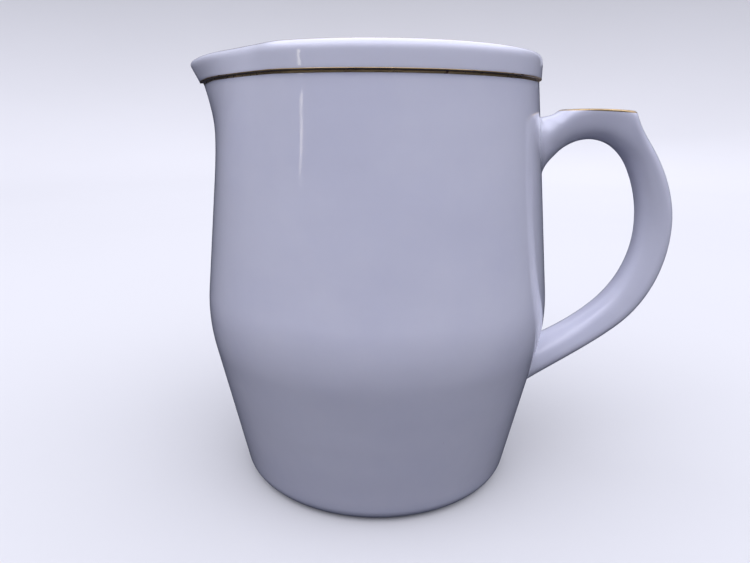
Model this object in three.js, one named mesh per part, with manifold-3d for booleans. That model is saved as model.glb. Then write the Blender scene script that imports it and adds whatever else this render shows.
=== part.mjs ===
// A one-litre white porcelain pitcher: turned body with a proud rim band and a pulled spout, an ear handle
// with a flat thumb rest, the slip that lutes the handle on, and three lines of gold lustre.
// Millimetres, +Z up. The spout points to -X and the handle to +X. The origin is the bottom centre of the
// whole pitcher's box, on the standing plane, so the body's own axis stands at x = BODY_AXIS_X.
import * as THREE from "three";
import { mergeVertices } from "three/addons/utils/BufferGeometryUtils.js";
import Module from "manifold-3d";

const wasm = await Module();
wasm.setup();

const BODY_AXIS_X = -20.4;
const GAP = 0.3; // clearance left between pieces that touch in the real ware

// Outer wall
const HEIGHT = 143.8;
const FOOT_RADIUS = 47.8; // where the lower wall's line meets the standing plane
const FOOT_EDGE = 4.8; // rounding of the bottom edge
const SHOULDER_Z = 58.2; // where the two straight walls' lines cross
const SHOULDER_RADIUS = 60.2;
const SHOULDER_BLEND = 9.9; // length of each wall used up by the soft shoulder
const NECK_Z = 134.8; // underside of the groove below the rim band
const NECK_RADIUS = 52.2;

// Rim band and lip
const BAND_Z = 136.3; // underside of the rim band
const BAND_RADIUS = 52.8;
const BAND_CHAMFER = 0.4; // at its lower edge
const BAND_STRAIGHT_TOP = 140.3;
const LIP_RADIUS = 50.2; // circle of the lip's crest
const LIP_INNER_RADIUS = 47.7;
const LIP_INNER_Z = 141.0;

// Gold lines: a line's width and thickness, and the shallow groove it lies in
const GOLD_WIDTH = 0.9;
const GOLD_THICKNESS = 0.45;
const GROOVE_WIDTH = GOLD_WIDTH + 2 * GAP;
const GROOVE_DEPTH = 0.6;

// Inside and foot
const WALL = 4.2;
const FLOOR_Z = 7;
const FLOOR_FILLET = 9;
const FOOT_RING_OUTER = 42.8;
const FOOT_RING_INNER = 39.0;
const RECESS_Z = 2.2;
const RECESS_CURVE = 1.6; // radial run of the recess's curved side

// Spout: flat sides that run to a small rounded tip, fading out down the wall
const SPOUT_START_Z = 104;
const SPOUT_REACH = 11.3;
const SPOUT_GROWTH = 2.1;
const SPOUT_NARROWING = 4; // how quickly the pull falls off from the outer face to the inner one
const SPOUT_DIP = 1.4; // how far the rim drops towards the tip
const SPOUT_SIDE_ANGLE = THREE.MathUtils.degToRad(38.5);
const SPOUT_SIDE_DISTANCE = 47.8;
const SPOUT_TIP_SOFTNESS = THREE.MathUtils.degToRad(2.5);
const SPOUT_FLARE_FROM = THREE.MathUtils.degToRad(50);
const SPOUT_FLARE_TO = THREE.MathUtils.degToRad(64);

// Handle, in the pitcher's mid plane with x measured from the body's axis: the knots that its two outlines
// pass through. Each outline has a place (x, z) there and a heading in degrees from +X towards +Z. The
// section that joins the two places has a half width across and a squareness, where 2 is an ellipse.
const HANDLE_KNOTS = [
  // the upper root, inside the wall
  { inner: [49, 103.5, 10], outer: [49, 125, 2], halfWidth: 8.2, squareness: 2.2 },
  // the rise to the thumb rest
  { inner: [61.5, 113.5, 45], outer: [62, 128, 48], halfWidth: 6.5, squareness: 2.4 },
  // the crown of the finger loop, under the middle of the rest
  { inner: [72, 118, 0], outer: [72, 131, 0], halfWidth: 7.3, squareness: 3.1 },
  // the rest's outer corner
  { inner: [81, 115.3, -34], outer: [85.8, 127, -73], halfWidth: 7.9, squareness: 3.1 },
  // the hollow below the corner
  { inner: [87, 108.3, -62], outer: [91.3, 118, -53], halfWidth: 7.5, squareness: 2.6 },
  // the outermost part of the bow
  { inner: [92, 87, -90], outer: [103.3, 87, -90], halfWidth: 6.7, squareness: 2.6 },
  // the lower turn
  { inner: [80, 59.5, -137], outer: [87, 51.3, -141], halfWidth: 6.8, squareness: 2.9 },
  // the lower root, inside the wall
  { inner: [49, 42, -161], outer: [49, 24.6, -141], halfWidth: 8, squareness: 2.2 },
];
const HANDLE_TAPER = 0.2; // how much wider a section is at its outer side than at its middle
const HANDLE_SIDES = 20;
const HANDLE_STEPS_PER_STRETCH = 5;
const THUMB_REST_X = 75;
const THUMB_REST_Z = 127.75; // height of the rest's face at THUMB_REST_X
const THUMB_REST_TILT = THREE.MathUtils.degToRad(1.5); // it falls a little towards the outer end

// Slip luting round the two roots: how far it stands off the handle at the wall and at its far end
const SLIP_END = 0.9;
const UPPER_SLIP = { atWall: 2.2, length: 4.2 };
const LOWER_SLIP = { atWall: 2.0, length: 2.6 };
const BETWEEN_ROOTS_Z = 75; // a level between the two roots

const TURN_SEGMENTS = 64;
const CURVE_POINTS = 3;
const MERGE_DISTANCE = 1e-4; // vertices closer than this are one
const ON_AXIS = 1e-6; // radius below which a point lies on the body's axis
const BLOCK_SIZE = 200; // larger than any piece, for the blocks that trim one

// A geometry as a solid that can be joined and cut.
function solidOf(geometry) {
  const bare = geometry.clone();
  bare.deleteAttribute("normal");
  bare.deleteAttribute("uv");
  const merged = mergeVertices(bare, MERGE_DISTANCE);
  return new wasm.Manifold(
    new wasm.Mesh({
      numProp: 3,
      vertProperties: merged.attributes.position.array,
      triVerts: new Uint32Array(merged.index.array),
    }),
  );
}

// A solid as a named mesh.
function meshOf(name, solid, material) {
  const made = solid.getMesh();
  const geometry = new THREE.BufferGeometry();
  geometry.setAttribute("position", new THREE.BufferAttribute(made.vertProperties, 3));
  geometry.setIndex(new THREE.BufferAttribute(made.triVerts, 1));
  geometry.computeVertexNormals();
  const mesh = new THREE.Mesh(geometry, material);
  mesh.name = name;
  return mesh;
}

// Share of the spout's full reach at an angle from the spout's direction.
function spoutPlan(angle) {
  const sideAt = (a) =>
    SPOUT_SIDE_DISTANCE / Math.cos(Math.hypot(a, SPOUT_TIP_SOFTNESS) - SPOUT_SIDE_ANGLE) - LIP_RADIUS;
  const fade = 1 - THREE.MathUtils.smoothstep(Math.abs(angle), SPOUT_FLARE_FROM, SPOUT_FLARE_TO);
  return (fade * sideAt(angle)) / sideAt(0);
}

// Share of the spout's height reached at a level.
const spoutRise = (z) => Math.max(0, (z - SPOUT_START_Z) / (HEIGHT - SPOUT_START_Z));

// How far the spout lowers a point near its tip.
const spoutDip = (angle, z) => SPOUT_DIP * spoutRise(z) * Math.max(0, spoutPlan(angle)) ** 2;

// How far the spout moves a point of the wall outward.
function spoutPull(angle, radius, z) {
  const depth = (radius / BAND_RADIUS) ** SPOUT_NARROWING;
  return SPOUT_REACH * spoutRise(z) ** SPOUT_GROWTH * depth * spoutPlan(angle);
}

// A profile of (radius, height) points turned about the body's axis, with the spout pulled out of it.
function turned(points) {
  const geometry = new THREE.LatheGeometry(points, TURN_SEGMENTS);
  geometry.rotateX(Math.PI / 2);
  const position = geometry.attributes.position;
  for (let i = 0; i < position.count; i += 1) {
    const x = position.getX(i);
    const y = position.getY(i);
    const z = position.getZ(i);
    const radius = Math.hypot(x, y);
    if (radius < ON_AXIS) continue;
    const angle = Math.atan2(y, -x);
    const stretch = 1 + spoutPull(angle, radius, z) / radius;
    position.setXYZ(i, x * stretch, y * stretch, z - spoutDip(angle, z));
  }
  return solidOf(geometry);
}

// Radius of a straight wall through two points, at a height.
function onLine(z, z0, r0, z1, r1) {
  return r0 + ((r1 - r0) * (z - z0)) / (z1 - z0);
}
const lowerRadius = (z) => onLine(z, 0, FOOT_RADIUS, SHOULDER_Z, SHOULDER_RADIUS);
const upperRadius = (z) => onLine(z, SHOULDER_Z, SHOULDER_RADIUS, NECK_Z, NECK_RADIUS);
const wallRadius = (z) => Math.min(lowerRadius(z), upperRadius(z));

// Heights at which the wall is divided so that the spout can fade in smoothly.
const WALL_LEVELS = [86, 104, 112, 119, 125, 130];

// The outer wall from the bottom edge to the neck, moved outward by an offset.
function drawOuterWall(path, offset) {
  const low = SHOULDER_Z - SHOULDER_BLEND;
  const high = SHOULDER_Z + SHOULDER_BLEND;
  path.lineTo(lowerRadius(low) + offset, low);
  path.quadraticCurveTo(SHOULDER_RADIUS + offset, SHOULDER_Z, upperRadius(high) + offset, high);
  for (const z of WALL_LEVELS) path.lineTo(upperRadius(z) + offset, z);
  path.lineTo(NECK_RADIUS + offset, NECK_Z);
}

function vesselBody() {
  const path = new THREE.Path();
  path.moveTo(0, RECESS_Z);
  path.lineTo(FOOT_RING_INNER - RECESS_CURVE, RECESS_Z);
  path.quadraticCurveTo(FOOT_RING_INNER, RECESS_Z, FOOT_RING_INNER, 0);
  path.lineTo(FOOT_RING_OUTER, 0);
  path.quadraticCurveTo(FOOT_RADIUS, 0, lowerRadius(FOOT_EDGE), FOOT_EDGE);
  drawOuterWall(path, 0);
  path.lineTo(NECK_RADIUS - GROOVE_DEPTH, NECK_Z);
  path.lineTo(NECK_RADIUS - GROOVE_DEPTH, BAND_Z);
  path.lineTo(BAND_RADIUS - BAND_CHAMFER, BAND_Z);
  path.lineTo(BAND_RADIUS, BAND_Z + BAND_CHAMFER);
  path.lineTo(BAND_RADIUS, BAND_STRAIGHT_TOP);
  path.quadraticCurveTo(BAND_RADIUS, HEIGHT, LIP_RADIUS + GROOVE_WIDTH / 2, HEIGHT);
  path.lineTo(LIP_RADIUS + GROOVE_WIDTH / 2, HEIGHT - GROOVE_DEPTH);
  path.lineTo(LIP_RADIUS - GROOVE_WIDTH / 2, HEIGHT - GROOVE_DEPTH);
  path.lineTo(LIP_RADIUS - GROOVE_WIDTH / 2, HEIGHT);
  path.quadraticCurveTo(LIP_INNER_RADIUS, HEIGHT, LIP_INNER_RADIUS, LIP_INNER_Z);
  path.lineTo(NECK_RADIUS - WALL, NECK_Z);
  for (const z of WALL_LEVELS.toReversed()) path.lineTo(upperRadius(z) - WALL, z);
  const low = SHOULDER_Z - SHOULDER_BLEND;
  const high = SHOULDER_Z + SHOULDER_BLEND;
  path.lineTo(upperRadius(high) - WALL, high);
  path.quadraticCurveTo(SHOULDER_RADIUS - WALL, SHOULDER_Z, lowerRadius(low) - WALL, low);
  const filletTop = FLOOR_Z + FLOOR_FILLET;
  path.lineTo(lowerRadius(filletTop) - WALL, filletTop);
  path.quadraticCurveTo(
    lowerRadius(FLOOR_Z) - WALL,
    FLOOR_Z,
    lowerRadius(FLOOR_Z) - WALL - FLOOR_FILLET,
    FLOOR_Z,
  );
  path.lineTo(0, FLOOR_Z);
  return turned(path.getPoints(CURVE_POINTS));
}

// Everything inside the outer wall, grown by an offset: used to cut the handle and the slip to the wall.
function wallEnvelope(offset) {
  const path = new THREE.Path();
  path.moveTo(0, -offset);
  path.lineTo(lowerRadius(0) + offset, -offset);
  drawOuterWall(path, offset);
  path.lineTo(0, NECK_Z);
  return turned(path.getPoints(CURVE_POINTS));
}

// A gold line of rectangular section turned about the body's axis.
function goldRing(innerRadius, bottomZ, width, height) {
  const outerRadius = innerRadius + width;
  const topZ = bottomZ + height;
  const corners = [
    [innerRadius, bottomZ],
    [outerRadius, bottomZ],
    [outerRadius, topZ],
    [innerRadius, topZ],
    [innerRadius, bottomZ],
  ];
  return turned(corners.map(([r, z]) => new THREE.Vector2(r, z)));
}

// An outline's curve between two of its knots: the cubic nearest to a circular arc for their headings.
function arcLike([startX, startZ, startHeading], [endX, endZ, endHeading]) {
  const start = new THREE.Vector2(startX, startZ);
  const end = new THREE.Vector2(endX, endZ);
  const from = THREE.MathUtils.degToRad(startHeading);
  const to = THREE.MathUtils.degToRad(endHeading);
  const reach = start.distanceTo(end) / (3 * Math.cos((to - from) / 4) ** 2);
  const leaving = new THREE.Vector2(Math.cos(from), Math.sin(from)).multiplyScalar(reach).add(start);
  const arriving = new THREE.Vector2(Math.cos(to), Math.sin(to)).multiplyScalar(-reach).add(end);
  return new THREE.CubicBezierCurve(start, leaving, arriving, end);
}

// The handle's section at a place t along it, from 0 at the upper root to 1 at the lower one.
function handleSection(t) {
  const place = t * (HANDLE_KNOTS.length - 1);
  const index = Math.min(Math.floor(place), HANDLE_KNOTS.length - 2);
  const before = HANDLE_KNOTS[index];
  const after = HANDLE_KNOTS[index + 1];
  const share = place - index;
  const blend = THREE.MathUtils.smoothstep(share, 0, 1);
  return {
    inner: arcLike(before.inner, after.inner).getPoint(share),
    outer: arcLike(before.outer, after.outer).getPoint(share),
    halfWidth: THREE.MathUtils.lerp(before.halfWidth, after.halfWidth, blend),
    squareness: THREE.MathUtils.lerp(before.squareness, after.squareness, blend),
  };
}

// The handle as a bar of rounded sections: a unit cylinder whose rings are laid on the sections.
// growAt(x, z) is how much the section whose centre is there grows.
function handleBar(growAt) {
  const steps = HANDLE_STEPS_PER_STRETCH * (HANDLE_KNOTS.length - 1);
  const geometry = new THREE.CylinderGeometry(1, 1, 1, HANDLE_SIDES, steps);
  const position = geometry.attributes.position;
  for (let i = 0; i < position.count; i += 1) {
    const { inner, outer, halfWidth, squareness } = handleSection(0.5 - position.getY(i));
    const square = (v) => Math.sign(v) * Math.abs(v) ** (2 / squareness);
    const across = square(position.getX(i));
    const outward = square(position.getZ(i));
    const centre = inner.clone().add(outer).multiplyScalar(0.5);
    const direction = outer.clone().sub(inner).normalize();
    const grow = growAt(centre.x, centre.y);
    const halfDepth = inner.distanceTo(outer) / 2 + grow;
    const point = centre.addScaledVector(direction, halfDepth * outward);
    position.setXYZ(i, point.x, across * (halfWidth + grow) * (1 + HANDLE_TAPER * outward), point.y);
  }
  return solidOf(geometry);
}

// A trimming block beside the body, between two heights.
function slab(bottomZ, topZ) {
  const box = new THREE.BoxGeometry(BLOCK_SIZE, BLOCK_SIZE, topZ - bottomZ);
  box.translate(BLOCK_SIZE / 2, 0, (topZ + bottomZ) / 2);
  return solidOf(box);
}

// A trimming block that lies on the thumb rest's face, between two heights above it.
function restSlab(bottom, top) {
  const box = new THREE.BoxGeometry(BLOCK_SIZE, BLOCK_SIZE, top - bottom);
  box.translate(0, 0, (top + bottom) / 2);
  box.rotateY(THUMB_REST_TILT);
  box.translate(THUMB_REST_X, 0, THUMB_REST_Z);
  return solidOf(box);
}

// The ring of slip round the root that lies in a slab: it flares out towards the wall.
function slipRing(slip, nearRoot) {
  const growAt = (x, z) => {
    const along = THREE.MathUtils.clamp((x - wallRadius(z)) / slip.length, 0, 1);
    return SLIP_END + (slip.atWall - SLIP_END) * (1 - along) ** 2;
  };
  return handleBar(growAt)
    .intersect(wallEnvelope(slip.length))
    .intersect(nearRoot)
    .subtract(handleBar(() => GAP))
    .subtract(wallEnvelope(GAP));
}

const glaze = new THREE.MeshStandardMaterial({ color: 0xe4e6ee, roughness: 0.12, metalness: 0 });
const gold = new THREE.MeshStandardMaterial({ color: 0x8c6f3e, roughness: 0.3, metalness: 0.9 });

const handle = handleBar(() => 0).subtract(restSlab(0, BLOCK_SIZE)).subtract(wallEnvelope(GAP));
const upperSlip = slipRing(UPPER_SLIP, slab(BETWEEN_ROOTS_Z, NECK_Z));
const lowerSlip = slipRing(LOWER_SLIP, slab(0, BETWEEN_ROOTS_Z));
const restLine = handleBar(() => GAP)
  .intersect(restSlab(GAP, GAP + GOLD_THICKNESS))
  .subtract(handleBar(() => GAP - GOLD_WIDTH));

const pitcher = new THREE.Group();
pitcher.name = "pitcher";
const ware = new THREE.Group();
ware.name = "ware";
ware.position.x = BODY_AXIS_X;
pitcher.add(ware);
ware.add(meshOf("vessel_body", vesselBody(), glaze));
ware.add(meshOf("handle", handle, glaze));
ware.add(meshOf("handle_slip_upper", upperSlip, glaze));
ware.add(meshOf("handle_slip_lower", lowerSlip, glaze));
ware.add(
  meshOf(
    "gold_line_collar",
    goldRing(NECK_RADIUS - GROOVE_DEPTH + GAP, NECK_Z + GAP, GOLD_THICKNESS, GOLD_WIDTH),
    gold,
  ),
);
ware.add(
  meshOf(
    "gold_line_lip",
    goldRing(LIP_RADIUS - GOLD_WIDTH / 2, HEIGHT - GROOVE_DEPTH + GAP, GOLD_WIDTH, GROOVE_DEPTH - GAP),
    gold,
  ),
);
ware.add(meshOf("gold_line_thumb_rest", restLine, gold));

export default pitcher;
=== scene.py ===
"""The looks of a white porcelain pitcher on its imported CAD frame.

Metres, +Z up. The body is round about a vertical axis, the spout points to -X and the handle to +X.
Shapes are drawn in millimetres from the body's axis and placed by make_piece.
"""

import math

import bpy
import bmesh
import numpy as np
from mathutils import Matrix, Vector
from mathutils.bvhtree import BVHTree


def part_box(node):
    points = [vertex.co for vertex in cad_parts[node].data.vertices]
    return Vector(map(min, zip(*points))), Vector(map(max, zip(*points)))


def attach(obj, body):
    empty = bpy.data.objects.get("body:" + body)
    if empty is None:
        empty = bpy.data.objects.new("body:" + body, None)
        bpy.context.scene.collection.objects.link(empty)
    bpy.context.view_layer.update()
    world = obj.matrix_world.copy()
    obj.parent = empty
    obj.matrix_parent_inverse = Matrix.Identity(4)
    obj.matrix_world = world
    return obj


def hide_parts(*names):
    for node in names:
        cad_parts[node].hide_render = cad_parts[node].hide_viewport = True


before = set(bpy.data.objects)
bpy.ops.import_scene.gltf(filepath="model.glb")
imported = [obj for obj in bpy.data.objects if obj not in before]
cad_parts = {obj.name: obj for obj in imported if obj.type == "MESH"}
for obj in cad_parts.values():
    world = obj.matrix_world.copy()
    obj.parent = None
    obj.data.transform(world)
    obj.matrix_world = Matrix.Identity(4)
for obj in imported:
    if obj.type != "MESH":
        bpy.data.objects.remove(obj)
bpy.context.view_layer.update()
scene = bpy.context.scene

MM = 0.001
_, body_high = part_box("vessel_body")
AXIS_X = body_high.x - body_high.y  # the body is as wide behind its axis as it is across

# Outer wall, in mm
HEIGHT = 143.8
FOOT_RADIUS = 47.8
FOOT_EDGE = 4.8
SHOULDER_Z = 58.2
SHOULDER_RADIUS = 60.2
SHOULDER_BLEND = 9.9  # height of each wall used up by the soft shoulder
BLEND_LOW = SHOULDER_Z - SHOULDER_BLEND
BLEND_HIGH = SHOULDER_Z + SHOULDER_BLEND
NECK_Z = 134.8
NECK_RADIUS = 52.2
BAND_Z = 136.3
BAND_RADIUS = 52.8
BAND_STRAIGHT_TOP = 140.3
BAND_EDGE = 0.35  # rounding of the band's lower edge
STEP_SOFTNESS = 0.35  # height of wall used up by the rounded corner under the band
STEP_REACH = 0.3  # how far that corner runs out along the band's underside
LIP_RADIUS = 50.2  # circle of the lip's crest
LIP_OUTER_POWER = 2.7  # squareness of the lip's outer half, where 2 is an ellipse
LIP_INNER_RADIUS = 47.7
LIP_INNER_Z = 141.0
LIP_INNER_POWER = 2.4

# Inside and foot, in mm
WALL = 4.2
FLOOR_Z = 7.0
FLOOR_FILLET = 9.0
RECESS_Z = 2.2
RECESS_FLAT_RADIUS = 37.2
RECESS_CORNER_RADIUS = 38.8
RING_INNER_EDGE = (39.1, 0.5)  # radius and height at which the recess's side turns into the foot ring
RING_INNER_CORNER = (39.2, 0.0)
RING_FLAT_INNER = 39.7
RING_FLAT_OUTER = 42.4
POLE_RADIUS = 0.4  # of the last ring of points before the middle of a flat face

# Spout: flat sides that run to a small rounded tip, fading out down the wall
SPOUT_START_Z = 104.0
SPOUT_REACH = 11.3
SPOUT_GROWTH = 2.1
SPOUT_NARROWING = 4  # how quickly the pull falls off from the outer face to the inner one
SPOUT_DIP = 1.4  # how far the rim drops towards the tip
SPOUT_SIDE_ANGLE = math.radians(38.5)
SPOUT_SIDE_DISTANCE = 47.8
SPOUT_TIP_SOFTNESS = math.radians(2.5)
SPOUT_FLARE = (math.radians(50), math.radians(64))
SPOUT_EASE = math.radians(2.2)  # step between the places that are averaged where the sides end
SPOUT_EASE_FROM = (math.radians(26), math.radians(40))
EASE_WEIGHTS = np.array([1, 3, 5, 6, 5, 3, 1]) / 24

# Handle, in the mid plane: at each knot the inner and the outer outline's x, z and heading in degrees from
# +X towards +Z, then the section's half width across and its squareness
HANDLE_KNOTS = (
    ((49, 103.5, 10), (49, 125, 2), (8.2, 2.2)),  # upper root, inside the wall
    ((61.5, 113.5, 45), (62, 128, 48), (6.5, 2.4)),  # rise to the thumb rest
    ((72, 118, 0), (72, 131, 0), (7.3, 3.1)),  # crown of the finger loop
    ((81, 115.3, -34), (85.8, 127, -73), (7.9, 3.1)),  # the rest's outer corner
    ((87, 108.3, -62), (91.3, 118, -53), (7.5, 2.6)),  # hollow below the corner
    ((92, 87, -90), (103.3, 87, -90), (6.7, 2.6)),  # outermost part of the bow
    ((80, 59.5, -137), (87, 51.3, -141), (6.8, 2.9)),  # lower turn
    ((49, 42, -161), (49, 24.6, -141), (8, 2.2)),  # lower root, inside the wall
)
HANDLE_TAPER = 0.2  # how much wider a section is at its outer side than at its middle
HANDLE_INSET = 0.9  # how far its ends reach into the wall
REST_X = 75.0
REST_Z = 127.75
REST_FALL = math.tan(math.radians(1.5))
REST_CROWN = 0.4
REST_HALF = 12.0  # half the rest's length
REST_EDGE = 0.6  # softness of the rest's edge
REST_REGION_Z = 118  # the handle is flattened only above this height

# Gold films: how far they stand off the surface, reach into it, and dip at their edges
FILM_LIFT = 0.05
FILM_SINK = 0.12
FILM_EDGE_DIP = 0.02
FILM_COLUMNS = 25
COLLAR_WIDTH = 0.95  # on the wall
COLLAR_RISE = 0.30  # on the band
COLLAR_TURN = 0.15  # length over which the film turns a corner
COLLAR_UNEVENNESS = (0.06, 0.05)  # of its width on the wall and on the band
LIP_LINE_HALF_WIDTH = 0.55
LIP_LINE_UNEVENNESS = 0.10
LIP_LINE_OFFSET = 0.25  # from the lip's crest outwards
REST_FILM_SIDES = 260
REST_FILM_COLUMNS = 13
REST_FILM_LIFT = 0.06
REST_FILM_DIP = 0.015
REST_FILM_CENTRE = (1.1, 1.0)  # how far inside and below the rest's edge the film's arc is centred
REST_FILM_FROM = (14, 10)  # lowest angle of that arc at the rest's inner end, and its fall to the outer end
REST_FILM_TO = 80
REST_FILM_ENDS = (62, 84)  # x between which that angle falls
REST_OUTLINE_SPAN = (0.10, 0.55)  # share of the handle within which the rest's outline is looked for
REST_OUTLINE_PASSES = 6

# Camera: sensor and lens in mm, places in metres, angles in degrees
CAMERA_SENSOR = 36.0
CAMERA_LENS = 28.8
CAMERA_FROM_AXIS = -0.0008167
CAMERA_Y = -0.21212
CAMERA_Z = 0.12381
CAMERA_DOWN = 15.0806
CAMERA_ROLL = 0.4862

# Floor, in metres
FLOOR_FLAT = 1.1
FLOOR_CURVE = 0.9
FLOOR_TOP = 2.4

# Light: places and sizes in metres, powers in watts, angles in degrees
LIGHT_AIM_Z = 0.09
SURROUND_LOW = (0.010, 0.011, 0.018)
SURROUND_HIGH = (1.0, 1.01, 1.20)
SURROUND_BACK = 0.35  # the surround's brightness behind, against 1 in front
SURROUND_OVERHEAD = 0.35  # the surround's brightness straight above, against 1 at half height
SURROUND_STRENGTH = 3.6
SURROUND_RISE = (0.22, 0.96)  # sines of the elevations between which it brightens
SURROUND_DEPTH = (-0.35, 0.75)  # Y of the directions, front to back, between which it darkens
SURROUND_ZENITH = (0.62, 1.0)  # sines of the elevations between which it darkens again
TOP_PLACE = (0.0, 0.0, 1.3)
TOP_SIZE = 0.9
TOP_POWER = 1.8
TOP_COLOR = (0.78, 0.84, 1.0)
BACK_PLACE = (0.3, 1.1, 0.7)
BACK_SIZE = 1.0
BACK_POWER = 1.5
BACK_COLOR = (0.82, 0.83, 1.0)
STRIP_AZIMUTH = 50.5  # a narrow softbox at the left, from -Y towards -X
STRIP_ELEVATION = 10.5
STRIP_DISTANCE = 0.9
STRIP_WIDTH = 0.022
STRIP_HEIGHT = 0.13
STRIP_POWER = 0.035
STRIP_COLOR = (1.0, 0.92, 0.78)

# Fineness of the meshes
TURN_SEGMENTS = 360
HANDLE_SIDES = 144
HANDLE_STEPS = 360
SLIP_ROWS = 29
SLIP_SAMPLES = 400
ROOT_SAMPLES = 1200
FLOOR_SIDES = 96

# Where the handle meets the wall: depths in mm, spans as shares of the handle
SLIP_SINK = 0.012  # how far the slip's edges lie under the surfaces they run out on
SLIP_BACK = 0.7  # how deep its hidden back lies in the joint
SLIP_SPAN = 0.12  # within which the slip ends
ROOT_SPAN = 0.35  # within which the handle comes out of the wall, at each end
ROOT_LAST_SAMPLE = 700  # only the samples before this one can be the root's


# ---------------------------------------------------------------- camera
camera_data = bpy.data.cameras.new("camera")
camera_data.sensor_width = CAMERA_SENSOR
camera_data.lens = CAMERA_LENS
camera_data.clip_start = 0.01
camera = bpy.data.objects.new("camera", camera_data)
scene.collection.objects.link(camera)
camera.matrix_world = (
    Matrix.Translation((AXIS_X + CAMERA_FROM_AXIS, CAMERA_Y, CAMERA_Z))
    @ Matrix.Rotation(math.radians(90 - CAMERA_DOWN), 4, "X")
    @ Matrix.Rotation(math.radians(CAMERA_ROLL), 4, "Z")
)
scene.camera = camera


# ---------------------------------------------------------------- body of revolution
def smoothstep(x, low, high):
    """0 below low, 1 above high and smooth between."""
    t = np.clip((x - low) / (high - low), 0, 1)
    return t * t * (3 - 2 * t)


def spout_side(angle):
    """How far a flat side of the spout lies outside the lip's circle."""
    return SPOUT_SIDE_DISTANCE / np.cos(np.hypot(angle, SPOUT_TIP_SOFTNESS) - SPOUT_SIDE_ANGLE) - LIP_RADIUS


def spout_sides(angle):
    """Share of the spout's full reach at an angle from its direction, before its sides' ends are eased."""
    angle = np.minimum(np.abs(angle), SPOUT_FLARE[1])
    return (1 - smoothstep(angle, *SPOUT_FLARE)) * spout_side(angle) / spout_side(0.0)


def spout_plan(angle):
    """The same share, with the ends of the flat sides eased into the round wall."""
    reach = len(EASE_WEIGHTS) // 2
    shifts = SPOUT_EASE * np.arange(-reach, reach + 1)
    eased = sum(w * spout_sides(np.abs(angle) + shift) for shift, w in zip(shifts, EASE_WEIGHTS))
    share = smoothstep(np.abs(angle), *SPOUT_EASE_FROM)
    return spout_sides(angle) * (1 - share) + eased * share


def pulled(radius, z, angle):
    """The place of a point of the turned body, angle measured from the spout, after the spout is pulled."""
    rise = np.maximum(0, (z - SPOUT_START_Z) / (HEIGHT - SPOUT_START_Z))
    plan = spout_plan(angle)
    depth = (radius / BAND_RADIUS) ** SPOUT_NARROWING
    r = radius + SPOUT_REACH * rise**SPOUT_GROWTH * depth * plan
    dip = SPOUT_DIP * rise * np.maximum(0, plan) ** 2
    return np.stack([-r * np.cos(angle), r * np.sin(angle), z - dip + 0 * r], -1)


def lower_radius(z):
    return FOOT_RADIUS + (SHOULDER_RADIUS - FOOT_RADIUS) * z / SHOULDER_Z


def upper_radius(z):
    return SHOULDER_RADIUS + (NECK_RADIUS - SHOULDER_RADIUS) * (z - SHOULDER_Z) / (NECK_Z - SHOULDER_Z)


def wall_radius(z):
    """Radius of the outer wall at a height, shoulder blend included."""
    t = (z - BLEND_LOW) / (BLEND_HIGH - BLEND_LOW)
    below, above = lower_radius(BLEND_LOW), upper_radius(BLEND_HIGH)
    blend = (1 - t) ** 2 * below + 2 * t * (1 - t) * SHOULDER_RADIUS + t * t * above
    straight = np.minimum(lower_radius(z), upper_radius(z))
    return np.where((z > BLEND_LOW) & (z < BLEND_HIGH), blend, straight)


STEP_RADIUS = float(wall_radius(BAND_Z))  # of the corner under the band


def line(start, end, count):
    """Points from start up to but not including end."""
    t = np.linspace(0, 1, count, endpoint=False)[:, None]
    return np.array(start) * (1 - t) + np.array(end) * t


def bend(start, corner, end, count):
    """A quadratic curve from start up to but not including end."""
    start, corner, end = np.array(start), np.array(corner), np.array(end)
    t = np.linspace(0, 1, count, endpoint=False)[:, None]
    return (1 - t) ** 2 * start + 2 * t * (1 - t) * corner + t * t * end


def crest(angles, base_radius, base_z, power):
    """Points of the lip's rounded edge at angles from its face at base_radius (0) to its top (90)."""
    a = np.radians(angles)
    radius = LIP_RADIUS + (base_radius - LIP_RADIUS) * np.cos(a) ** (2 / power)
    return np.stack([radius, base_z + (HEIGHT - base_z) * np.sin(a) ** (2 / power)], -1)


def wall_points(start_z, end_z, count, offset=0.0):
    """Points of the wall from start_z up to but not including end_z."""
    z = np.linspace(start_z, end_z, count, endpoint=False)
    return np.stack([wall_radius(z) + offset, z], -1)


def underside():
    """From the middle of the recess to the top of the bottom edge's rounding."""
    return [
        line((POLE_RADIUS, RECESS_Z), (RECESS_FLAT_RADIUS, RECESS_Z), 12),
        bend((RECESS_FLAT_RADIUS, RECESS_Z), (RECESS_CORNER_RADIUS, RECESS_Z), RING_INNER_EDGE, 6),
        bend(RING_INNER_EDGE, RING_INNER_CORNER, (RING_FLAT_INNER, 0.0), 4),
        line((RING_FLAT_INNER, 0.0), (RING_FLAT_OUTER, 0.0), 4),
        bend((RING_FLAT_OUTER, 0.0), (FOOT_RADIUS, 0.0), (lower_radius(FOOT_EDGE), FOOT_EDGE), 14),
    ]


def outer_wall():
    """Up the wall and out to the band."""
    corner_end = (STEP_RADIUS + STEP_REACH, BAND_Z + 0.02)
    return [
        wall_points(FOOT_EDGE, BLEND_LOW, 20),
        wall_points(BLEND_LOW, BLEND_HIGH, 16),
        wall_points(BLEND_HIGH, SPOUT_START_Z, 14),
        wall_points(SPOUT_START_Z, BAND_Z - STEP_SOFTNESS, 24),
        bend((STEP_RADIUS + 0.02, BAND_Z - STEP_SOFTNESS), (STEP_RADIUS, BAND_Z), corner_end, 4),
        bend(corner_end, (BAND_RADIUS, BAND_Z + 0.05), (BAND_RADIUS, BAND_Z + BAND_EDGE), 6),
    ]


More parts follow.
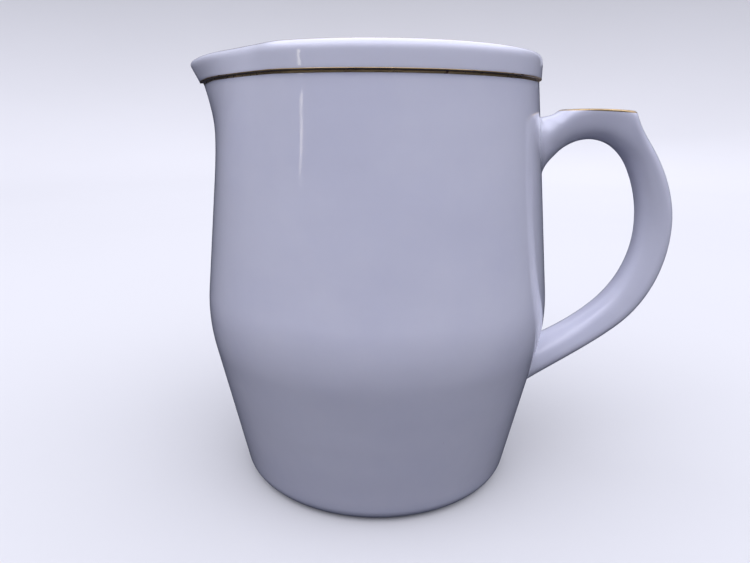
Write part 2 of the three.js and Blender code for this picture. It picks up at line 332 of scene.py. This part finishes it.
def band_and_lip():
    """Up the band and over the lip."""
    return [
        line((BAND_RADIUS, BAND_Z + BAND_EDGE), (BAND_RADIUS, BAND_STRAIGHT_TOP), 5),
        crest(np.linspace(0.5, 90, 22, endpoint=False), BAND_RADIUS, BAND_STRAIGHT_TOP, LIP_OUTER_POWER),
        crest(np.linspace(90, 0.5, 16, endpoint=False), LIP_INNER_RADIUS, LIP_INNER_Z, LIP_INNER_POWER),
    ]


def inside():
    """Down the inner wall and in to the floor's middle."""
    fillet_top = FLOOR_Z + FLOOR_FILLET
    floor_radius = lower_radius(FLOOR_Z) - WALL
    flat_radius = floor_radius - FLOOR_FILLET
    fillet_start = (lower_radius(fillet_top) - WALL, fillet_top)
    return [
        line((LIP_INNER_RADIUS, LIP_INNER_Z), (NECK_RADIUS - WALL, NECK_Z), 5),
        wall_points(NECK_Z, SPOUT_START_Z, 14, -WALL),
        wall_points(SPOUT_START_Z, BLEND_HIGH, 8, -WALL),
        wall_points(BLEND_HIGH, BLEND_LOW, 12, -WALL),
        wall_points(BLEND_LOW, fillet_top, 8, -WALL),
        bend(fillet_start, (floor_radius, FLOOR_Z), (flat_radius, FLOOR_Z), 12),
        line((flat_radius, FLOOR_Z), (POLE_RADIUS, FLOOR_Z), 8),
        np.array([(POLE_RADIUS, FLOOR_Z)]),
    ]


# ---------------------------------------------------------------- meshes
def ring_faces(rows, columns, close_rows=False):
    """Quads of a grid whose columns go round, and whose last row joins the first if close_rows."""
    faces = []
    for i in range(rows if close_rows else rows - 1):
        for j in range(columns):
            a, b = i * columns, ((i + 1) % rows) * columns
            k = (j + 1) % columns
            faces.append((a + j, a + k, b + k, b + j))
    return faces


def capped(rows, columns):
    """Faces of a tube of rows by columns, closed at both ends by fans to two extra points."""
    faces = ring_faces(rows, columns)
    first, last = rows * columns, rows * columns + 1
    end = (rows - 1) * columns
    for j in range(columns):
        k = (j + 1) % columns
        faces.append((first, k, j))
        faces.append((last, end + j, end + k))
    return faces


def make_piece(name, points, faces, material, nodes, sharp_rows=(), columns=0):
    """A closed, smooth mesh from points in mm from the body's axis. Edges along sharp_rows stay crisp.

    It stands for the CAD nodes named, which it hides, and takes the material given.
    """
    mesh = bpy.data.meshes.new(name)
    placed = np.asarray(points, float) * MM
    placed[:, 0] += AXIS_X
    mesh.from_pydata(placed.tolist(), [], faces)
    work = bmesh.new()
    work.from_mesh(mesh)
    bmesh.ops.recalc_face_normals(work, faces=work.faces)
    for face in work.faces:
        face.smooth = True
    for row in sharp_rows:
        on_row = set(range(row * columns, (row + 1) * columns))
        for edge in work.edges:
            if edge.verts[0].index in on_row and edge.verts[1].index in on_row:
                edge.smooth = False
    work.to_mesh(mesh)
    work.free()
    mesh.materials.append(material)
    piece = bpy.data.objects.new(name, mesh)
    scene.collection.objects.link(piece)
    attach(piece, "root")
    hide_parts(*nodes)


# ---------------------------------------------------------------- materials
def new_material(name):
    """A material, its node tree and its shader."""
    material = bpy.data.materials.new(name)
    material.use_nodes = True
    tree = material.node_tree
    return material, tree, tree.nodes["Principled BSDF"]


class Nodes:
    """Short calls for the nodes of one tree."""

    def __init__(self, tree, coordinates="Object"):
        self.tree = tree
        self.where = self.add("ShaderNodeTexCoord").outputs[coordinates]

    def add(self, kind, **values):
        node = self.tree.nodes.new(kind)
        for name, value in values.items():
            setattr(node, name, value)
        return node

    def link(self, output, target):
        self.tree.links.new(output, target)

    def noise(self, scale, detail, roughness=0.55, stretch=(1, 1, 1), distortion=0.0):
        """A noise with the given cells in a metre."""
        mapping = self.add("ShaderNodeMapping")
        mapping.inputs["Scale"].default_value = stretch
        self.link(self.where, mapping.inputs["Vector"])
        node = self.add("ShaderNodeTexNoise")
        node.inputs["Scale"].default_value = scale
        node.inputs["Detail"].default_value = detail
        node.inputs["Roughness"].default_value = roughness
        node.inputs["Distortion"].default_value = distortion
        self.link(mapping.outputs["Vector"], node.inputs["Vector"])
        return node.outputs["Fac"]

    def spread(self, value, from_low, from_high, to_low, to_high, smooth=True):
        """A value carried from one range to another and held at its ends."""
        node = self.add("ShaderNodeMapRange", interpolation_type="SMOOTHSTEP" if smooth else "LINEAR")
        node.inputs["From Min"].default_value = from_low
        node.inputs["From Max"].default_value = from_high
        node.inputs["To Min"].default_value = to_low
        node.inputs["To Max"].default_value = to_high
        self.link(value, node.inputs["Value"])
        return node.outputs["Result"]

    def mix(self, factor, first, second):
        """Two colours, each a tuple or an output, mixed by a factor."""
        node = self.add("ShaderNodeMix", data_type="RGBA")
        self.link(factor, node.inputs["Factor"])
        for value, key in ((first, 6), (second, 7)):
            if isinstance(value, tuple):
                node.inputs[key].default_value = (*value, 1.0)
            else:
                self.link(value, node.inputs[key])
        return node.outputs[2]

    def math(self, operation, first, second):
        node = self.add("ShaderNodeMath", operation=operation)
        for value, key in ((first, 0), (second, 1)):
            if isinstance(value, (int, float)):
                node.inputs[key].default_value = value
            else:
                self.link(value, node.inputs[key])
        return node.outputs[0]

    def height(self):
        """Height above the standing plane, in metres."""
        split = self.add("ShaderNodeSeparateXYZ")
        self.link(self.where, split.inputs[0])
        return split.outputs["Z"]

    def bump(self, height, distance, strength=1.0, after=None):
        node = self.add("ShaderNodeBump")
        node.inputs["Strength"].default_value = strength
        node.inputs["Distance"].default_value = distance
        self.link(height, node.inputs["Height"])
        if after is not None:
            self.link(after, node.inputs["Normal"])
        return node.outputs["Normal"]


# Tints of the glaze, and the heights in metres at which they start and end
BODY_TINTS = ((0.755, 0.760, 0.845), (0.800, 0.803, 0.872))
# painted shade: a darker, bluer tint laid on the glaze just under the band and near the foot
PAINTED_SHADE_TINT = (0.62, 0.645, 0.76)
# painted light: the band's tint is lighter than the body's, standing in for how brightly the band is lit
LIT_BAND_TINT = (0.875, 0.878, 0.945)
LIP_TINT = (0.84, 0.835, 0.86)
SPECK_TINT = (0.47, 0.43, 0.40)
SPECK_CELLS = 165.0  # in a metre
CLAY_TINT = (0.79, 0.765, 0.72)
# heights over which painted shade darkens the wall just under the band
SHADE_UNDER_BAND = (0.1336, 0.1362)
# heights where the painted shade under the band ends and the band's painted light begins
BAND_START = (0.1362, 0.1372)
# heights over which painted shade darkens the wall near the foot, fading upwards
SHADE_AT_FOOT = (0.0012, 0.008)
LIP_START = (0.1415, 0.1438)
BARE_FOOT = (0.0002, 0.0005)

# Tints of the gold
GOLD_TINTS = ((0.36, 0.255, 0.125), (0.60, 0.440, 0.220))
WORN_GOLD = (0.16, 0.085, 0.050)

FLOOR_TINTS = ((0.68, 0.675, 0.64), (0.71, 0.705, 0.67))


def glaze_material():
    """Clear gloss glaze on white porcelain.

    It is cloudy, darkened by painted shade just under the band and near the foot, lightened on the band by
    painted light, thin on the lip, has pin specks, and leaves the foot ring bare.
    """
    material, tree, shader = new_material("porcelain_glaze")
    n = Nodes(tree)
    z = n.height()
    cloud = n.spread(n.noise(28, 4, 0.6), 0.3, 0.7, 0, 1)
    color = n.mix(cloud, *BODY_TINTS)
    # painted shade: the glaze is darkened, patchily, just under the band and near the foot
    band_shade = n.math("MULTIPLY", n.spread(z, *SHADE_UNDER_BAND, 0, 1), n.spread(z, *BAND_START, 1, 0))
    painted_shade = n.math("ADD", band_shade, n.spread(z, *SHADE_AT_FOOT, 0.8, 0))
    painted_shade = n.math("MULTIPLY", painted_shade, n.spread(n.noise(60, 3, 0.6), 0.25, 0.75, 0.35, 0.9))
    color = n.mix(painted_shade, color, PAINTED_SHADE_TINT)
    # painted light: the band and everything above it is lightened
    color = n.mix(n.spread(z, *BAND_START, 0, 0.8), color, LIT_BAND_TINT)
    patchy = n.spread(n.noise(90, 2, 0.5), 0.3, 0.7, 0.5, 1)
    color = n.mix(n.math("MULTIPLY", n.spread(z, *LIP_START, 0, 0.55), patchy), color, LIP_TINT)
    cells = n.add("ShaderNodeTexVoronoi", feature="F1", distance="EUCLIDEAN")
    cells.inputs["Scale"].default_value = SPECK_CELLS
    n.link(n.where, cells.inputs["Vector"])
    rare = n.add("ShaderNodeSeparateColor")
    n.link(cells.outputs["Color"], rare.inputs[0])
    speck = n.math(
        "MULTIPLY",
        n.spread(cells.outputs["Distance"], 0.012, 0.034, 1, 0),
        n.spread(rare.outputs[0], 0.93, 0.95, 0, 0.55),
    )
    color = n.mix(speck, color, SPECK_TINT)
    bare = n.spread(z, *BARE_FOOT, 1, 0)
    grain = n.spread(n.noise(2600, 3, 0.6), 0.3, 0.7, 0, 1)
    color = n.mix(bare, color, CLAY_TINT)
    n.link(color, shader.inputs["Base Color"])
    smudge = n.spread(n.noise(34, 5, 0.65, distortion=0.4), 0.42, 0.68, 0.06, 0.13)
    rough = n.math("ADD", smudge, n.math("MULTIPLY", bare, 0.5))
    n.link(rough, shader.inputs["Roughness"])
    turning = n.noise(120, 2, 0.5, stretch=(0.06, 0.06, 1))
    slow = n.noise(42, 2, 0.5)
    peel = n.noise(420, 2, 0.5)
    normal = n.bump(slow, 0.0012, 0.22)
    normal = n.bump(turning, 0.0006, 0.16, normal)
    normal = n.bump(peel, 0.00008, 0.35, normal)
    normal = n.bump(n.math("MULTIPLY", speck, -1.0), 0.00006, 0.5, normal)
    normal = n.bump(n.math("MULTIPLY", grain, bare), 0.00005, 1.0, normal)
    n.link(normal, shader.inputs["Normal"])
    shader.inputs["IOR"].default_value = 1.5
    shader.inputs["Coat Weight"].default_value = 0.5
    shader.inputs["Coat Roughness"].default_value = 0.03
    shader.inputs["Coat IOR"].default_value = 1.45
    shader.inputs["Subsurface Weight"].default_value = 0.12
    shader.inputs["Subsurface Radius"].default_value = (0.0016, 0.0015, 0.0014)
    shader.inputs["Subsurface Scale"].default_value = 1.0
    return material


def gold_material():
    """Hand-painted gold lustre: burnished and uneven, darker where it is thick, browner where worn."""
    material, tree, shader = new_material("gold_lustre")
    n = Nodes(tree)
    streak = n.spread(n.noise(260, 4, 0.65, stretch=(0.5, 0.5, 2.2)), 0.3, 0.72, 0, 1)
    color = n.mix(streak, *GOLD_TINTS)
    worn = n.spread(n.noise(520, 5, 0.7), 0.58, 0.70, 0, 1)
    color = n.mix(worn, color, WORN_GOLD)
    n.link(color, shader.inputs["Base Color"])
    n.link(n.spread(worn, 0, 1, 0.92, 0.45, smooth=False), shader.inputs["Metallic"])
    n.link(n.spread(n.noise(330, 4, 0.6), 0.3, 0.7, 0.24, 0.46), shader.inputs["Roughness"])
    n.link(n.bump(n.noise(900, 3, 0.6), 0.00003, 0.6), shader.inputs["Normal"])
    shader.inputs["Coat Weight"].default_value = 0.1
    shader.inputs["Coat Roughness"].default_value = 0.1
    return material


glaze = glaze_material()
gold = gold_material()


# ---------------------------------------------------------------- body
turn_angles = np.linspace(-math.pi, math.pi, TURN_SEGMENTS, endpoint=False)
profile = np.concatenate(underside() + outer_wall() + band_and_lip() + inside())
grid = pulled(profile[:, :1], profile[:, 1:], turn_angles[None, :])
make_piece(
    "vessel_body_glazed",
    np.concatenate([grid.reshape(-1, 3), [(0, 0, RECESS_Z), (0, 0, FLOOR_Z)]]),
    capped(len(profile), TURN_SEGMENTS),
    glaze,
    ["vessel_body"],
)


# ---------------------------------------------------------------- gold lines on the body
def wobble(seed):
    """A slow unevenness round the body, like that of a line painted on a wheel, about -1 to 1."""
    waves = ((1, 0.5), (3, 0.3), (7, 0.2), (13, 0.12))
    return sum(share * np.sin(k * turn_angles + seed * (k + 1.7)) for k, share in waves)


def film(name, section, node):
    """A closed ring of lustre. section(share) gives radius, z, normal r and normal z at each turn angle."""
    shares = np.linspace(0, 1, FILM_COLUMNS)
    heights = FILM_LIFT * (1 - (2 * shares - 1) ** 6)
    heights[[0, -1]] = -FILM_EDGE_DIP
    rows = []
    for share, height in zip(shares, heights):
        radius, z, normal_r, normal_z = section(share)
        rows.append(pulled(radius + normal_r * height, z + normal_z * height, turn_angles))
    for share in shares[::-1]:
        radius, z, normal_r, normal_z = section(share)
        rows.append(pulled(radius - normal_r * FILM_SINK, z - normal_z * FILM_SINK, turn_angles))
    points = np.stack(rows).reshape(-1, 3)
    faces = ring_faces(len(rows), TURN_SEGMENTS, close_rows=True)
    make_piece(name, points, faces, gold, [node], (0, FILM_COLUMNS - 1), TURN_SEGMENTS)


def collar_section(share):
    """Up the wall, out along the band's underside and a little way up the band."""
    width = COLLAR_WIDTH + COLLAR_UNEVENNESS[0] * wobble(seed=2.0)
    step = BAND_RADIUS - STEP_RADIUS
    rise = COLLAR_RISE + COLLAR_UNEVENNESS[1] * wobble(seed=5.3)
    run = share * (width + step + rise)
    z = BAND_Z - np.maximum(width - run, 0) + np.maximum(run - width - step, 0)
    radius = np.where(z < BAND_Z, wall_radius(z), STEP_RADIUS) + np.clip(run - width, 0, step)
    after_wall = np.clip((run - width) / COLLAR_TURN + 0.5, 0, 1)
    before_band = np.clip((width + step - run) / COLLAR_TURN + 0.5, 0, 1)
    under = after_wall * before_band
    return radius, z, 1 - under, -under


def lip_section(share):
    """Across the lip's crest, a little outside its middle."""
    half = LIP_LINE_HALF_WIDTH + LIP_LINE_UNEVENNESS * wobble(seed=4.1)
    radius = LIP_RADIUS + LIP_LINE_OFFSET + half * (2 * share - 1)
    offset = (radius - LIP_RADIUS) / (BAND_RADIUS - LIP_RADIUS)
    rise = (1 - np.abs(offset) ** LIP_OUTER_POWER) ** (1 / LIP_OUTER_POWER)
    return radius, BAND_STRAIGHT_TOP + (HEIGHT - BAND_STRAIGHT_TOP) * rise, 0.0, 1.0


film("gold_collar_film", collar_section, "gold_line_collar")
film("gold_lip_film", lip_section, "gold_line_lip")


# ---------------------------------------------------------------- handle
def arc_like(start, end, share):
    """Points of the cubic nearest to a circular arc between two knots of an outline."""
    first, last = np.array(start[:2], float), np.array(end[:2], float)
    leave, arrive = np.radians(start[2]), np.radians(end[2])
    reach = np.linalg.norm(last - first) / (3 * np.cos((arrive - leave) / 4) ** 2)
    second = first + reach * np.array([np.cos(leave), np.sin(leave)])
    third = last - reach * np.array([np.cos(arrive), np.sin(arrive)])
    s = share[:, None]
    near = (1 - s) ** 3 * first + 3 * s * (1 - s) ** 2 * second
    return near + 3 * s * s * (1 - s) * third + s**3 * last


def handle_sections(steps, passes):
    """Rows of inner x, z, outer x, z, half width and squareness, eased where the stretches meet."""
    share = np.linspace(0, 1, steps, endpoint=False)
    blend = smoothstep(share, 0, 1)[:, None]
    rows = []
    for before, after in zip(HANDLE_KNOTS, HANDLE_KNOTS[1:]):
        size = np.array(before[2]) * (1 - blend) + np.array(after[2]) * blend
        rows.append(np.hstack([arc_like(before[k], after[k], share) for k in (0, 1)] + [size]))
    sections = np.concatenate(rows)
    for _ in range(passes):
        sections[1:-1] = (sections[:-2] + 2 * sections[1:-1] + sections[2:]) / 4
    return sections


SECTIONS = handle_sections(steps=120, passes=90)
SECTION_PLACES = np.linspace(0, 1, len(SECTIONS))


def signed_power(value, power):
    return np.sign(value) * np.abs(value) ** power


def rest_level(x):
    """Height of the thumb rest's face, which falls outwards and is very slightly crowned."""
    return REST_Z - REST_FALL * (x - REST_X) + REST_CROWN * (0.5 - ((x - REST_X) / REST_HALF) ** 2)


def handle_surface(t, angle, flat=True):
    """Points at places t along the handle (0 at its upper root) and angles round it (0 on its outer side)."""
    t, angle = np.broadcast_arrays(np.asarray(t, float), np.asarray(angle, float))
    section = np.stack([np.interp(t, SECTION_PLACES, column) for column in SECTIONS.T], -1)
    inner, outer = section[..., 0:2], section[..., 2:4]
    half_width, power = section[..., 4], 2 / section[..., 5]
    across = (outer - inner) / 2
    outward = signed_power(np.cos(angle), power)
    place = (inner + outer) / 2 + across * outward[..., None]
    y = half_width * signed_power(np.sin(angle), power) * (1 + HANDLE_TAPER * outward)
    x, z = place[..., 0], place[..., 1]
    if flat:
        rest = rest_level(x)
        above = (z - rest) / REST_EDGE
        cut = -REST_EDGE * np.logaddexp(0, -above)
        z = np.where(z > REST_REGION_Z, rest + cut, z)
    return np.stack([x, y, z], -1)


def wall_gap(points, inset):
    """How far points stand outside a surface that lies an inset inside the body's wall."""
    return np.hypot(points[..., 0], points[..., 1]) - wall_radius(points[..., 2]) + inset


def crossing(lower, inset):
    """For each side angle, the place t at which the handle comes out of that surface inside the wall."""
    t = np.linspace(0, ROOT_SPAN, ROOT_SAMPLES)
    if lower:
        t = 1 - t
    outside = wall_gap(handle_surface(t[:, None], side_angles[None, :]), inset)
    found = []
    for j in range(HANDLE_SIDES):
        last = np.nonzero(outside[:, j] < 0)[0]
        last = last[last < ROOT_LAST_SAMPLE].max()
        share = outside[last, j] / (outside[last, j] - outside[last + 1, j])
        found.append(t[last] + share * (t[last + 1] - t[last]))
    return np.array(found)


side_angles = np.linspace(0, 2 * math.pi, HANDLE_SIDES, endpoint=False)
first_t = crossing(lower=False, inset=HANDLE_INSET)
last_t = crossing(lower=True, inset=HANDLE_INSET)
along = np.linspace(0, 1, HANDLE_STEPS)[:, None]
handle_t = first_t[None, :] * (1 - along) + last_t[None, :] * along
handle_grid = handle_surface(handle_t, side_angles[None, :])
handle_ends = [handle_grid[0].mean(0), handle_grid[-1].mean(0)]
handle_points = np.concatenate([handle_grid.reshape(-1, 3), handle_ends])
handle_faces = capped(HANDLE_STEPS, HANDLE_SIDES)
make_piece(
    "handle_glazed",
    handle_points,
    handle_faces,
    glaze,
    ["handle"],
    (0, HANDLE_STEPS - 1),
    HANDLE_SIDES,
)


# ---------------------------------------------------------------- slip round the handle's roots
def around(top, side, bottom):
    """A length for each side angle, from its values on the outer side, the flanks and the inner side."""
    c = np.cos(side_angles)
    return side + (top - side) * np.maximum(0, c) ** 2 + (bottom - side) * np.maximum(0, -c) ** 2


def unrolled(points):
    """Points as the distance round the wall, the height, and the distance out from the wall."""
    radius = np.hypot(points[..., 0], points[..., 1])
    round_wall = np.arctan2(points[..., 1], points[..., 0]) * NECK_RADIUS
    return np.stack([round_wall, points[..., 2], radius - wall_radius(points[..., 2])], -1)


def rolled(points):
    """The inverse of unrolled."""
    radius = wall_radius(points[..., 1]) + points[..., 2]
    angle = points[..., 0] / NECK_RADIUS
    return np.stack([radius * np.cos(angle), radius * np.sin(angle), points[..., 1]], -1)


def slip_start(root_t, lower, on_handle):
    """The root's points, then where the slip ends on the handle and its heading there, both unrolled."""
    steps = np.linspace(0, SLIP_SPAN, SLIP_SAMPLES)[:, None] * (-1 if lower else 1)
    lines = handle_surface(root_t[None, :] + steps, side_angles[None, :])
    pieces = np.linalg.norm(np.diff(lines, axis=0), axis=2)
    run = np.concatenate([np.zeros((1, HANDLE_SIDES)), np.cumsum(pieces, 0)])
    flat_lines = unrolled(lines)
    start, heading = [], []
    for j in range(HANDLE_SIDES):
        i = int(np.searchsorted(run[:, j], on_handle[j]))
        start.append(flat_lines[i, j])
        back = flat_lines[i - 1, j] - flat_lines[i, j]
        heading.append(back / np.linalg.norm(back))
    return lines[0], np.array(start), np.array(heading)


def slip_ring(name, lower, on_handle, on_wall, fullness, node):
    """A smooth fillet between the handle and the wall, its edges running out on both surfaces."""
    root, start, heading = slip_start(crossing(lower, 0.0), lower, on_handle)
    # the root's outline on the unrolled wall, and its outward normals
    corner = unrolled(root) * (1, 1, 0)
    tangent = np.roll(corner, -2, 0) - np.roll(corner, 2, 0)
    normal = np.stack([tangent[:, 1], -tangent[:, 0], 0 * tangent[:, 0]], -1)
    normal /= np.linalg.norm(normal, axis=1)[:, None]
    normal *= math.copysign(1, ((corner - corner.mean(0)) * normal).sum())
    end = corner + normal * on_wall[:, None]
    handle_pull = np.linalg.norm(corner - start, axis=1)[:, None] * fullness
    controls = [start, start + heading * handle_pull, corner, end + (corner - end) * fullness, end]
    into_bar = root.mean(0) - root
    into_bar /= np.linalg.norm(into_bar, axis=1)[:, None]
    into_wall = -root * (1, 1, 0) / np.hypot(root[:, 0], root[:, 1])[:, None]
    rows = []
    for s in np.linspace(0, 1, SLIP_ROWS):
        weights = [math.comb(4, k) * s**k * (1 - s) ** (4 - k) for k in range(5)]
        point = rolled(sum(w * c for w, c in zip(weights, controls)))
        rows.append(point + SLIP_SINK * (into_bar * (1 - s) ** 6 + into_wall * s**6))
    rows.append(root + (into_wall + into_bar) * SLIP_BACK)
    points = np.stack(rows).reshape(-1, 3)
    faces = ring_faces(len(rows), HANDLE_SIDES, close_rows=True)
    sharp_rows = (0, SLIP_ROWS - 1, SLIP_ROWS)
    make_piece(name, points, faces, glaze, [node], sharp_rows, HANDLE_SIDES)


slip_ring(
    "handle_slip_upper_glazed",
    lower=False,
    on_handle=around(3.0, 9.5, 8.0),
    on_wall=around(1.6, 9.5, 8.5),
    fullness=0.5,
    node="handle_slip_upper",
)
slip_ring(
    "handle_slip_lower_glazed",
    lower=True,
    on_handle=around(3.2, 4.5, 3.0),
    on_wall=around(2.2, 4.0, 2.4),
    fullness=0.5,
    node="handle_slip_lower",
)


# ---------------------------------------------------------------- gold line on the thumb rest
def rest_outline():
    """The closed outline of the thumb rest's face, seen from above, evenly divided."""
    t = np.linspace(*REST_OUTLINE_SPAN, 900)
    angles = np.linspace(0, math.pi / 2, 500)
    points = handle_surface(t[:, None], angles[None, :], flat=False)
    above = points[..., 2] - rest_level(points[..., 0])
    side = []
    for i in range(len(t)):
        over = np.nonzero(above[i] > 0)[0]
        if len(over) and points[i, 0, 2] > REST_REGION_Z:
            side.append(points[i, over.max()])
    side = np.array(side)
    side[0, 1] = side[-1, 1] = 0
    loop = np.concatenate([side, side[-2:0:-1] * (1, -1, 1)])
    closed = np.concatenate([loop, loop[:1]])
    run = np.concatenate([[0], np.cumsum(np.linalg.norm(np.diff(closed, axis=0), axis=1))])
    at = np.linspace(0, run[-1], REST_FILM_SIDES, endpoint=False)
    outline = np.stack([np.interp(at, run, closed[:, k]) for k in range(3)], -1)
    for _ in range(REST_OUTLINE_PASSES):
        outline = (np.roll(outline, 1, 0) + 2 * outline + np.roll(outline, -1, 0)) / 4
    return outline


def rest_film(name, node):
    """A line of lustre round the thumb rest's edge, found by rays from an arc's centre inside the edge."""
    outline = rest_outline()
    tangent = np.roll(outline, -1, 0) - np.roll(outline, 1, 0)
    out = np.stack([tangent[:, 1], -tangent[:, 0], 0 * tangent[:, 0]], -1)
    out /= np.linalg.norm(out, axis=1)[:, None]
    if ((outline - outline.mean(0)) * out).sum() < 0:
        out = -out
    up = np.array([0, 0, 1.0])
    centre = outline - out * REST_FILM_CENTRE[0] - up * REST_FILM_CENTRE[1]
    far = smoothstep(outline[:, 0], *REST_FILM_ENDS)
    low = np.radians(REST_FILM_FROM[0] - REST_FILM_FROM[1] * far)
    high = math.radians(REST_FILM_TO)
    surface = BVHTree.FromPolygons([tuple(p) for p in handle_points.tolist()], handle_faces)
    shares = np.linspace(0, 1, REST_FILM_COLUMNS)
    heights = np.sin(np.pi * shares) ** 0.4 * REST_FILM_LIFT - REST_FILM_DIP
    rows_out, rows_in = [], []
    for share, height in zip(shares, heights):
        outer_row, inner_row = [], []
        for j in range(REST_FILM_SIDES):
            a = low[j] + (high - low[j]) * share
            ray = out[j] * math.cos(a) + up * math.sin(a)
            hit, normal, _, _ = surface.ray_cast(Vector(centre[j]), Vector(ray))
            hit, normal = np.array(hit), np.array(normal)
            if normal @ ray < 0:
                normal = -normal
            outer_row.append(hit + normal * height)
            inner_row.append(hit - normal * FILM_SINK)
        rows_out.append(outer_row)
        rows_in.append(inner_row)
    points = np.array(rows_out + rows_in[::-1]).reshape(-1, 3)
    faces = ring_faces(2 * REST_FILM_COLUMNS, REST_FILM_SIDES, close_rows=True)
    make_piece(name, points, faces, gold, [node], (0, REST_FILM_COLUMNS - 1), REST_FILM_SIDES)


rest_film("gold_thumb_rest_film", "gold_line_thumb_rest")


# ---------------------------------------------------------------- floor and light
def backdrop():
    """A pale floor that curves up all round."""
    material, tree, shader = new_material("pale_floor")
    n = Nodes(tree)
    n.link(n.mix(n.noise(3, 3), *FLOOR_TINTS), shader.inputs["Base Color"])
    shader.inputs["Roughness"].default_value = 0.85
    shader.inputs["Specular IOR Level"].default_value = 0.15
    rise = np.radians(np.arange(5, 91, 5))
    flat = np.linspace(0.02, FLOOR_FLAT, 12)
    outermost = FLOOR_FLAT + FLOOR_CURVE
    radii = np.concatenate([flat, FLOOR_FLAT + FLOOR_CURVE * np.sin(rise), [outermost]])[:, None]
    levels = np.concatenate([0 * flat, FLOOR_CURVE - FLOOR_CURVE * np.cos(rise), [FLOOR_TOP]])[:, None]
    a = np.linspace(0, 2 * math.pi, FLOOR_SIDES, endpoint=False)[None, :]
    points = np.stack([radii * np.cos(a), radii * np.sin(a), levels + 0 * a], -1).reshape(-1, 3)
    faces = ring_faces(len(radii), FLOOR_SIDES) + [tuple(range(FLOOR_SIDES))]
    mesh = bpy.data.meshes.new("floor")
    mesh.from_pydata(points.tolist(), [], faces)
    mesh.shade_smooth()
    mesh.materials.append(material)
    floor = bpy.data.objects.new("floor", mesh)
    scene.collection.objects.link(floor)
    floor.visible_diffuse = False
    floor.visible_glossy = False
    floor.visible_shadow = False


def area_light(name, place, width, power, color, height=None):
    """A rectangular soft light, square unless a height is given, that points at the pitcher's middle."""
    data = bpy.data.lights.new(name, "AREA")
    data.shape = "RECTANGLE"
    data.size = width
    data.size_y = height or width
    data.energy = power
    data.color = color
    light = bpy.data.objects.new(name, data)
    scene.collection.objects.link(light)
    light.location = place
    aim = Vector((AXIS_X, 0, LIGHT_AIM_Z)) - Vector(place)
    light.rotation_euler = aim.to_track_quat("-Z", "Y").to_euler()
    light.visible_camera = False


def light_place(azimuth, elevation, distance):
    """A place at a distance from the pitcher's middle. Azimuth is in degrees from -Y towards -X."""
    a, e = math.radians(azimuth), math.radians(elevation)
    direction = Vector((-math.sin(a) * math.cos(e), -math.cos(a) * math.cos(e), math.sin(e)))
    return Vector((AXIS_X, 0, LIGHT_AIM_Z)) + distance * direction


def soft_surround():
    """A world that is bright high in front, wraps round the sides and is dark below."""
    world = bpy.data.worlds.new("studio")
    world.use_nodes = True
    scene.world = world
    n = Nodes(world.node_tree, "Generated")
    background = world.node_tree.nodes["Background"]
    split = n.add("ShaderNodeSeparateXYZ")
    n.link(n.where, split.inputs[0])
    high = n.spread(split.outputs["Z"], *SURROUND_RISE, 0, 1)
    front = n.spread(split.outputs["Y"], *SURROUND_DEPTH, 1, SURROUND_BACK)
    overhead = n.spread(split.outputs["Z"], *SURROUND_ZENITH, 1, SURROUND_OVERHEAD)
    share = n.math("MULTIPLY", n.math("MULTIPLY", high, front), overhead)
    n.link(n.mix(share, SURROUND_LOW, SURROUND_HIGH), background.inputs["Color"])
    background.inputs["Strength"].default_value = SURROUND_STRENGTH


def studio():
    """The surround, a large soft light above, one behind and a narrow one at the left."""
    soft_surround()
    area_light("top", TOP_PLACE, TOP_SIZE, TOP_POWER, TOP_COLOR)
    area_light("back", BACK_PLACE, BACK_SIZE, BACK_POWER, BACK_COLOR)
    strip = light_place(STRIP_AZIMUTH, STRIP_ELEVATION, STRIP_DISTANCE)
    area_light("strip", strip, STRIP_WIDTH, STRIP_POWER, STRIP_COLOR, STRIP_HEIGHT)


backdrop()
studio()
scene.view_settings.view_transform = "Standard"
